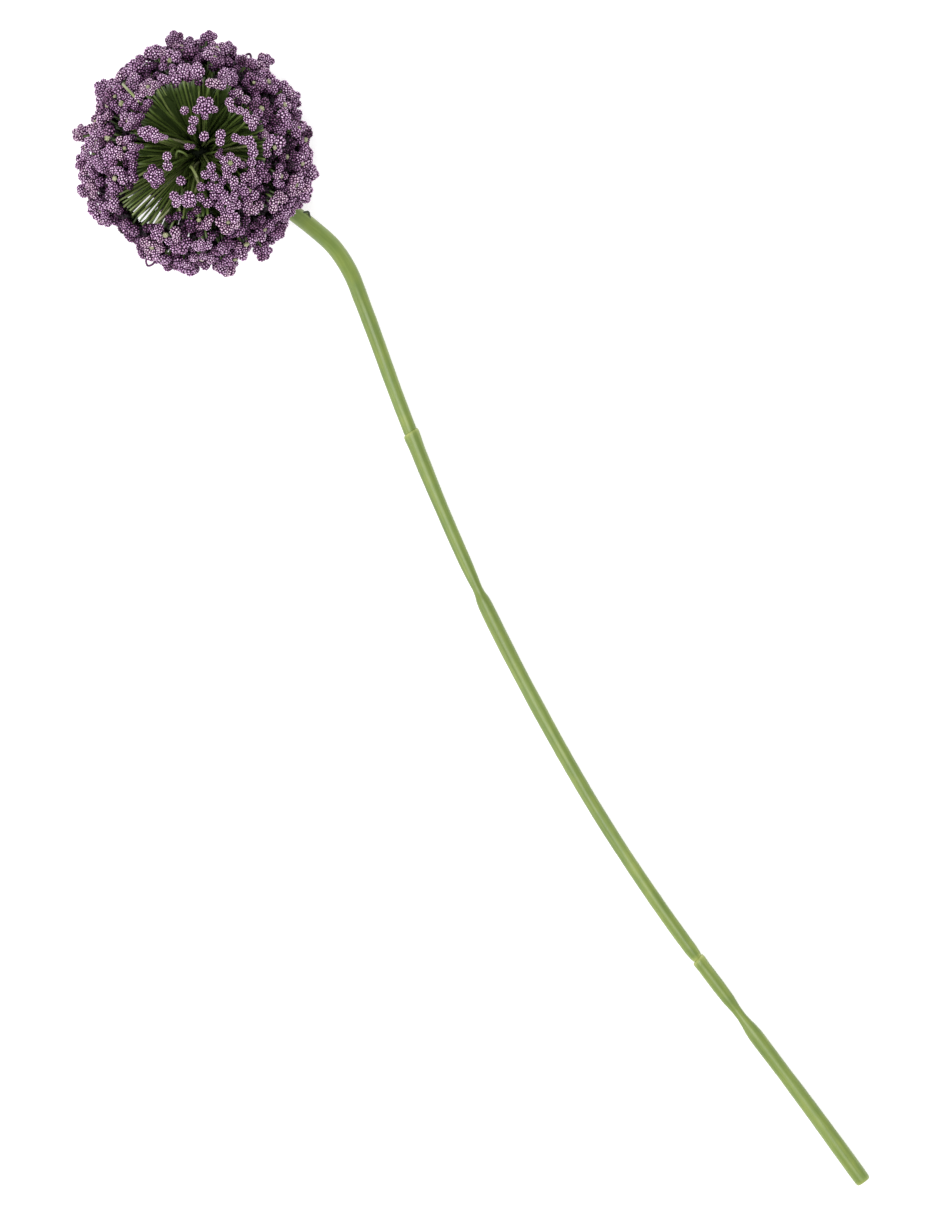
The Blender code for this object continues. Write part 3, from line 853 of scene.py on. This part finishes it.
def add_loop(heap, bearing, from_top, foot, reach, half_width):
    """A hairpin of thin stalk that stands out of the florets."""
    way = polar(bearing, from_top)
    side = unit(np.cross(np.array([0.0, 0.0, 1.0]), way))
    points = [
        HUB + MM * (way * (foot + (reach - foot) * out) + side * half_width * aside)
        for aside, out in LOOP_OUTLINE
    ]
    add_bent(heap, points, LOOP_THICK, LOOP_TIP, LOOP_TONE)


def add_fan(heap, bearing, beyond, half_width, strands):
    """Neighbouring stalks of one moulding, joined by a thin web painted dark as the shade between
    them.
    """
    way = polar(bearing, around(CROWN_EDGE, math.radians(bearing)) + beyond)
    flat = unit(np.cross(way, np.array([0.0, 0.0, 1.0])))
    start, end = HUB + way * HUB_RADIUS * FAN_ROOT, HUB + way * FAN_REACH
    t = np.linspace(0.0, 1.0, FAN_STEPS)
    line = bow(start, end, -flat * 0.0002, FAN_STEPS)
    wide = 0.0004 + half_width * np.sin(np.pi * t**1.2) ** 0.9
    # The web's near-black tone is painted shade between the strands.
    tone = float(np.clip(RANDOM.normal(0.09, 0.06), 0.0, 0.22))
    tube(heap, line, np.full(FAN_STEPS, WEB_THICK), wide, flat, tone, t, sides=10)
    for k in range(strands):
        side = (2.0 * (k + 0.5) / strands - 1.0) * half_width
        far = HUB + unit(end - HUB + flat * side * 1.25) * FAN_REACH
        near = start + flat * side * 0.25
        lift = np.cross(flat, way) * RANDOM.normal(scale=0.0004) + flat * side * 0.22
        thick = STRAND_THICK * RANDOM.uniform(0.85, 1.15)
        add_strand(heap, near, far, lift, RANDOM.uniform(0.04, 0.60), thick)


def add_bud(heap, middle, way, radius):
    """The pale, rough end of a stalk, which shows between the berries, with painted shade in its
    pits.
    """
    corners, faces, height = BUDS[RANDOM.integers(len(BUDS))]
    first, second = across(way)
    turned = (corners @ random_turn().T) @ np.stack([first, second, way * 0.75])
    tone = RANDOM.uniform(0.90, 1.05)
    # Lower corners get darker tones and less light: painted shade in the bud's pits.
    heap.add(middle + radius * turned, faces, tone * (0.78 + 0.22 * height), 0.2 + 0.8 * height)


def add_head():
    """All the florets and their strands, one piece for each CAD node.

    Each tip is (place, direction, owner, whether a pale bud shows there), for its strands.
    """
    bloom = Bloom()
    tips = []
    for bearing, from_top, rise in LUMPS:
        way = polar(bearing, from_top)
        add_umbel(bloom, tips, way, rise, owner_of(way), True)
    lumps = np.array([polar(bearing, from_top) for bearing, from_top, _ in LUMPS])
    for way in umbel_ways():
        if (lumps @ way).max() > math.cos(LUMP_ROOM):
            continue
        rise = float(np.clip(RANDOM.normal(scale=RISE_SPREAD), -RISE_LIMIT, RISE_LIMIT))
        add_umbel(bloom, tips, way, rise, owner_of(way))
    fill_gaps(bloom, tips)
    line_gaps(bloom)
    for node, way, (kind, turn) in zip(CROWN, CROWN_WAYS, CROWN_GROUPS):
        rise = RANDOM.uniform(-0.0015, 0.0010)
        add_group(bloom, tips, way, rise, kind, math.radians(turn), node)
    for bearing, from_top, kind, turn, rise in CROWN_EXTRAS:
        way = polar(bearing, from_top)
        node = CROWN[int(np.argmax(CROWN_WAYS @ way))]
        add_group(bloom, tips, way, rise, kind, math.radians(turn), node)
    for bearing, from_top, foot, reach, half_width in LOOPS:
        heap = bloom.heaps[owner_of(polar(bearing, from_top))]
        add_loop(heap, bearing, from_top, foot, reach, half_width)
    floret = floret_skin()
    for node, heap in bloom.heaps.items():
        heap.piece(node.replace("_florets", "") + "_bloom", floret, "floret_purple", node)
    add_stalks(tips)


def in_thin_sector(way):
    """Whether stalks are few in this direction."""
    bearing = math.degrees(math.atan2(way[1], way[0]))
    return abs(way[2]) < THIN_HEIGHT and any(
        abs((bearing - middle + 180.0) % 360.0 - 180.0) < half for middle, half in THIN_SECTORS
    )


def add_tip_strands(heaps, tips):
    """A bud on every pale tip, and the strands from the hub to all of them."""
    for place, way, owner, pale in tips:
        axis = unit(place - HUB)
        if pale:
            add_bud(heaps[owner], place, way, RANDOM.uniform(0.0008, 0.0015))
        crown = owner == "crown"
        root_way = axis if crown else unit(0.55 * axis + 0.45 * SPRAY_WAYS[SPRAYS.index(owner)])
        buried = not crown and not in_thin_sector(axis)
        # Buried strands get darker tones: painted shade under the florets.
        tone_with_shade = 0.22 if buried else 0.46
        for _ in range(STRANDS_EACH if buried and pale else 1):
            root = unit(root_way + RANDOM.normal(scale=0.10, size=3))
            start = HUB + root * (HUB_RADIUS * STRAND_ROOT)
            loose = RANDOM.normal(scale=0.0016 if buried else 0.0002, size=3)
            loose = loose - axis * (axis @ loose)
            end = place - axis * (0.0006 if crown else 0.0022) + loose
            tone = float(np.clip(RANDOM.normal(tone_with_shade, 0.16), 0.03, 0.80))
            bend = RANDOM.normal(scale=0.0013, size=3)
            light = BURIED_LIGHT if buried else 1.0
            add_strand(heaps[owner], start, end, bend, tone, light=light)


def add_comb(heap):
    """The open row of single stalks that the floor shows through."""
    first, last, from_top, count = COMB
    for bearing in np.linspace(first, last, count):
        way = polar(bearing + RANDOM.normal(scale=0.5), from_top + RANDOM.normal(scale=2.0))
        start, end = HUB + way * HUB_RADIUS * FAN_ROOT, HUB + way * COMB_REACH
        bend = np.array([0.0, 0.0, 1.0]) * RANDOM.uniform(0.0002, 0.0016)
        add_strand(heap, start, end, bend, RANDOM.uniform(0.30, 0.70), COMB_THICK)


def add_stalks(tips):
    """The strands to every group, the fans between them and a few stray ends."""
    heaps = {node: Heap("tone", "out") for node in SPRAYS}
    heaps["crown"] = Heap("tone", "out")
    add_tip_strands(heaps, tips)
    for fan in FANS:
        add_fan(heaps["crown"], *fan)
    add_comb(heaps["crown"])
    for stops, tone, thick in STRAYS:
        points = [HUB + polar(bearing, from_top) * reach * MM for bearing, from_top, reach in stops]
        _, _, root = stops[0]
        bearing, from_top, _ = stops[-1]
        owner = "crown" if root < CROWN_ROOT else owner_of(polar(bearing, from_top))
        add_bent(heaps[owner], points, thick, tone, 1.0)
    stalk = stalk_skin()
    for owner, heap in heaps.items():
        node = owner.replace("_florets", "_stalks") if owner != "crown" else "crown_stalks"
        heap.piece(node.replace("_stalks", "_strands"), stalk, "stalk_green", node)


def add_hub():
    """The core the strands grow from, painted near black as their shade, swelling round each peg."""
    shape = bmesh.new()
    bmesh.ops.create_icosphere(shape, subdivisions=4, radius=HUB_RADIUS)
    reach = math.cos(PEG_ANGLE)
    for corner in shape.verts:
        way = np.array(corner.co.normalized())
        near = float((SPRAY_WAYS @ way).max())
        swell = PEG_SWELL * max(0.0, (near - reach) / (1.0 - reach))
        corner.co = Vector(HUB + way * (HUB_RADIUS - HUB_INSET + swell))
    mesh = bpy.data.meshes.new("hub_core")
    shape.to_mesh(mesh)
    shape.free()
    mesh.shade_smooth()
    # Near-black green: painted shade among the strands.
    skin = plain_skin(
        "hub_green",
        low=(0.002, 0.004, 0.001),
        high=(0.008, 0.014, 0.004),
        roughness=0.8,
        metallic=0.0,
        scale=300.0,
    )
    settle(mesh, skin, "hub_green", "head_hub")


# Stem.


# Outside of each sleeve, as (metres along the stem, radius in millimetres).
UPPER_PROFILE = [
    (0.0101, 3.1), (0.0350, 3.4), (0.0600, 3.6), (0.0780, 3.6), (0.1000, 3.4), (0.1350, 3.15),
    (0.1600, 3.0), (0.1676, 3.0), (0.1680, 2.85), (0.1700, 2.8),
]
MIDDLE_PROFILE = [
    (0.1678, 3.1), (0.1680, 3.45), (0.1688, 3.62), (0.1704, 3.6), (0.1726, 3.45),
    (0.1776, 3.28), (0.1940, 3.15), (0.2070, 2.95), (0.2190, 2.88), (0.2315, 2.80), (0.2375, 2.50),
    (0.2405, 2.28), (0.2425, 2.22), (0.2450, 2.40), (0.2480, 2.95), (0.2505, 3.18), (0.2560, 3.25),
    (0.2800, 3.12), (0.3300, 3.05), (0.4000, 3.0), (0.4270, 2.95), (0.4300, 2.68), (0.4318, 2.35),
    (0.4323, 2.2),
]
LOWER_PROFILE = [
    (0.4322, 2.7), (0.4326, 3.0), (0.4336, 3.1), (0.4370, 2.9), (0.4480, 3.0),
    (0.4550, 2.85), (0.4580, 2.45), (0.4600, 2.18), (0.4640, 2.12), (0.4680, 2.45), (0.4710, 3.0),
    (0.4740, 3.25), (0.5000, 3.30), (0.5300, 3.42), (0.5450, 3.48), (0.5530, 3.42), (0.5539, 3.28),
    (0.5543, 2.95),
]


# The sleeves' unevenness, as (height, length) of its fine and its coarse waves.
FINE_WAVES = (0.00004, 0.004)
COARSE_WAVES = (0.00005, 0.013)
# How oval a sleeve is, how far its long side turns in radians, and over what length.
OVAL_SHARE = 0.018
OVAL_TURN = 3.0
OVAL_LENGTH = 0.05
# A sleeve's slanted end straightens over this length, and rings this close are left out.
SLANT_LENGTH = 0.0035
LEAST_STEP = 0.0004
SHARP_EDGE = math.radians(45.0)
NOISE_KNOTS = 4096


def smooth_noise(values, size, seed):
    """A smooth wander between -1 and 1 along a line of values, turning about once in each size."""
    knots = np.random.default_rng(seed).uniform(-1.0, 1.0, size=NOISE_KNOTS)
    place = values / size + 1000.0
    low = np.floor(place).astype(int)
    t = place - low
    t = t * t * (3 - 2 * t)
    return knots[low % NOISE_KNOTS] * (1 - t) + knots[(low + 1) % NOISE_KNOTS] * t


def add_sleeve(name, line, profile, skin, node, seed, slant=0.0):
    """One sleeve of the stem, turned round the stem line, slightly uneven, with closed ends."""
    profile = np.array(profile)
    inner = np.arange(profile[0, 0], profile[-1, 0], STEM_STEP)
    gaps = np.abs(inner[:, None] - profile[None, :, 0]).min(axis=1)
    along = np.sort(np.concatenate([profile[:, 0], inner[gaps > LEAST_STEP]]))
    radii = np.interp(along, profile[:, 0], profile[:, 1]) * MM
    for step, (height, length) in enumerate((FINE_WAVES, COARSE_WAVES)):
        radii = radii + height * smooth_noise(along, length, seed + step)
    turns = np.arange(STEM_SIDES) * math.tau / STEM_SIDES
    lean = slant * np.exp(-((along - along[0]) / SLANT_LENGTH) ** 2)
    place_at = along[:, None] + lean[:, None] * np.cos(turns)[None, :]
    middle, way = line.at(np.maximum(place_at.ravel(), 0.0))
    level = unit(np.cross(way, np.array([0.0, 0.0, 1.0])))
    upright = np.cross(level, way)
    spin = np.tile(turns, len(along))
    each = np.repeat(along, STEM_SIDES)
    drift = OVAL_TURN * smooth_noise(each, OVAL_LENGTH, seed + 2)
    thick = np.repeat(radii, STEM_SIDES) * (1.0 + OVAL_SHARE * np.cos(2 * spin + drift))
    outward = np.cos(spin)[:, None] * level + np.sin(spin)[:, None] * upright
    corners = middle + thick[:, None] * outward
    run = np.stack([each, thick * np.cos(spin), thick * np.sin(spin)], axis=1)
    faces = []
    last = (len(along) - 1) * STEM_SIDES
    for base in range(0, last, STEM_SIDES):
        above = base + STEM_SIDES
        for k in range(STEM_SIDES):
            after = (k + 1) % STEM_SIDES
            faces.append((base + k, base + after, above + after, above + k))
    ends = corners.reshape(len(along), STEM_SIDES, 3)[[0, -1]].mean(axis=1)
    for k in range(STEM_SIDES):
        after = (k + 1) % STEM_SIDES
        faces.append((after, k, len(corners)))
        faces.append((last + k, last + after, len(corners) + 1))
    corners = np.concatenate([corners, ends])
    run = np.concatenate([run, [[along[0], 0.0, 0.0], [along[-1], 0.0, 0.0]]])
    mesh = bpy.data.meshes.new(name)
    mesh.from_pydata(corners.tolist(), [], faces)
    layer = mesh.attributes.new("run", "FLOAT_VECTOR", "POINT")
    layer.data.foreach_set("vector", run.astype(np.float32).ravel())
    # How near each corner is to a sleeve's end, for the painted glow there.
    to_end = np.minimum(run[:, 0] - along[0], along[-1] - run[:, 0])
    layer = mesh.attributes.new("wear", "FLOAT", "POINT")
    layer.data.foreach_set("value", np.exp(-((to_end / SLEEVE_GLOW_LENGTH) ** 2)).astype(np.float32))
    mesh.shade_smooth()
    mesh.set_sharp_from_angle(angle=SHARP_EDGE)
    settle(mesh, skin, "sleeve_green", node)


def add_stem():
    """The three sleeves, which hide the CAD's wire, and the wire's own steel."""
    line = SmoothLine(np.array(STEM_ROUTE) + np.array([HUB[0], HUB[1], 0.0]))
    skin = sleeve_skin()
    add_sleeve("upper_sleeve", line, UPPER_PROFILE, skin, "upper_stem", seed=11)
    add_sleeve("middle_sleeve", line, MIDDLE_PROFILE, skin, "middle_stem", seed=21, slant=0.0007)
    add_sleeve("lower_sleeve", line, LOWER_PROFILE, skin, "lower_stem", seed=31, slant=0.0005)
    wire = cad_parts["stem_wire"]
    steel = plain_skin(
        "wire_steel",
        low=(0.36, 0.35, 0.33),
        high=(0.52, 0.51, 0.49),
        roughness=0.38,
        metallic=1.0,
        scale=700.0,
    )
    wire.data.materials.clear()
    wire.data.materials.append(steel)


# Floor, light and camera.

# The camera looks straight down: its height, the picture's height on the floor, its place from the
# hub's middle, and the bearing that is to the right in the picture.
CAMERA_HEIGHT = 2.5
VIEW_HEIGHT = 0.5346
CAMERA_PLACE = (0.2277, -0.0096)
VIEW_TURN = math.radians(57.0)
WORLD_STRENGTH = 0.80
# Each lamp as (name, (up, right) in the picture from its middle, height, size, watts).
LAMPS = [
    ("key_light", (-0.1, -0.4), 2.4, 1.8, 42.0),
    ("side_light", (-0.9, -1.6), 0.8, 1.0, 6.0),
]
# Half the floor's side, and a faint glow that keeps it pale between the strands.
FLOOR_REACH = 30.0
FLOOR_GLOW = 0.35


def add_floor():
    """A plain pale floor."""
    mesh = bpy.data.meshes.new("floor")
    side = FLOOR_REACH
    corners = [(-side, -side, 0.0), (side, -side, 0.0), (side, side, 0.0), (-side, side, 0.0)]
    mesh.from_pydata(corners, [], [(0, 1, 2, 3)])
    made = bpy.data.objects.new("floor", mesh)
    bpy.context.scene.collection.objects.link(made)
    skin = plain_skin(
        "floor_white",
        low=(0.86, 0.86, 0.86),
        high=(0.88, 0.88, 0.88),
        roughness=0.9,
        metallic=0.0,
        scale=2.0,
    )
    glow = skin.node_tree.nodes["Principled BSDF"].inputs
    glow["Emission Color"].default_value = (1.0, 1.0, 1.0, 1.0)
    glow["Emission Strength"].default_value = FLOOR_GLOW
    mesh.materials.append(skin)


def add_light(name, place, target, size, power):
    """A round soft lamp that faces its target."""
    lamp = bpy.data.lights.new(name, "AREA")
    lamp.shape = "DISK"
    lamp.size = size
    lamp.energy = power
    made = bpy.data.objects.new(name, lamp)
    made.location = place
    made.rotation_euler = (Vector(target) - Vector(place)).to_track_quat("-Z", "Y").to_euler()
    bpy.context.scene.collection.objects.link(made)


def add_studio():
    """White light from all round, and the lamps."""
    world = bpy.data.worlds.new("studio")
    world.use_nodes = True
    background = world.node_tree.nodes["Background"].inputs
    background["Color"].default_value = (1.0, 1.0, 1.0, 1.0)
    background["Strength"].default_value = WORLD_STRENGTH
    bpy.context.scene.world = world
    middle = Vector((HUB[0] + CAMERA_PLACE[0], HUB[1] + CAMERA_PLACE[1], 0.0))
    right = Vector((math.cos(VIEW_TURN), math.sin(VIEW_TURN), 0.0))
    up = Vector((-math.sin(VIEW_TURN), math.cos(VIEW_TURN), 0.0))
    for name, (upward, rightward), height, size, power in LAMPS:
        place = middle + upward * up + rightward * right + Vector((0.0, 0.0, height))
        add_light(name, place, middle, size, power)
    bpy.context.scene.view_settings.view_transform = "Standard"


def add_camera():
    """The camera straight above, with the picture's height on the floor filling its sensor."""
    lens = bpy.data.cameras.new("camera")
    lens.sensor_width = 36.0
    lens.lens = lens.sensor_width * CAMERA_HEIGHT / VIEW_HEIGHT
    lens.clip_start = 0.1
    made = bpy.data.objects.new("camera", lens)
    made.location = (HUB[0] + CAMERA_PLACE[0], HUB[1] + CAMERA_PLACE[1], CAMERA_HEIGHT)
    made.rotation_euler = (0.0, 0.0, VIEW_TURN)
    bpy.context.scene.collection.objects.link(made)
    bpy.context.scene.camera = made


add_camera()
add_studio()
add_floor()
add_hub()
add_head()
add_stem()
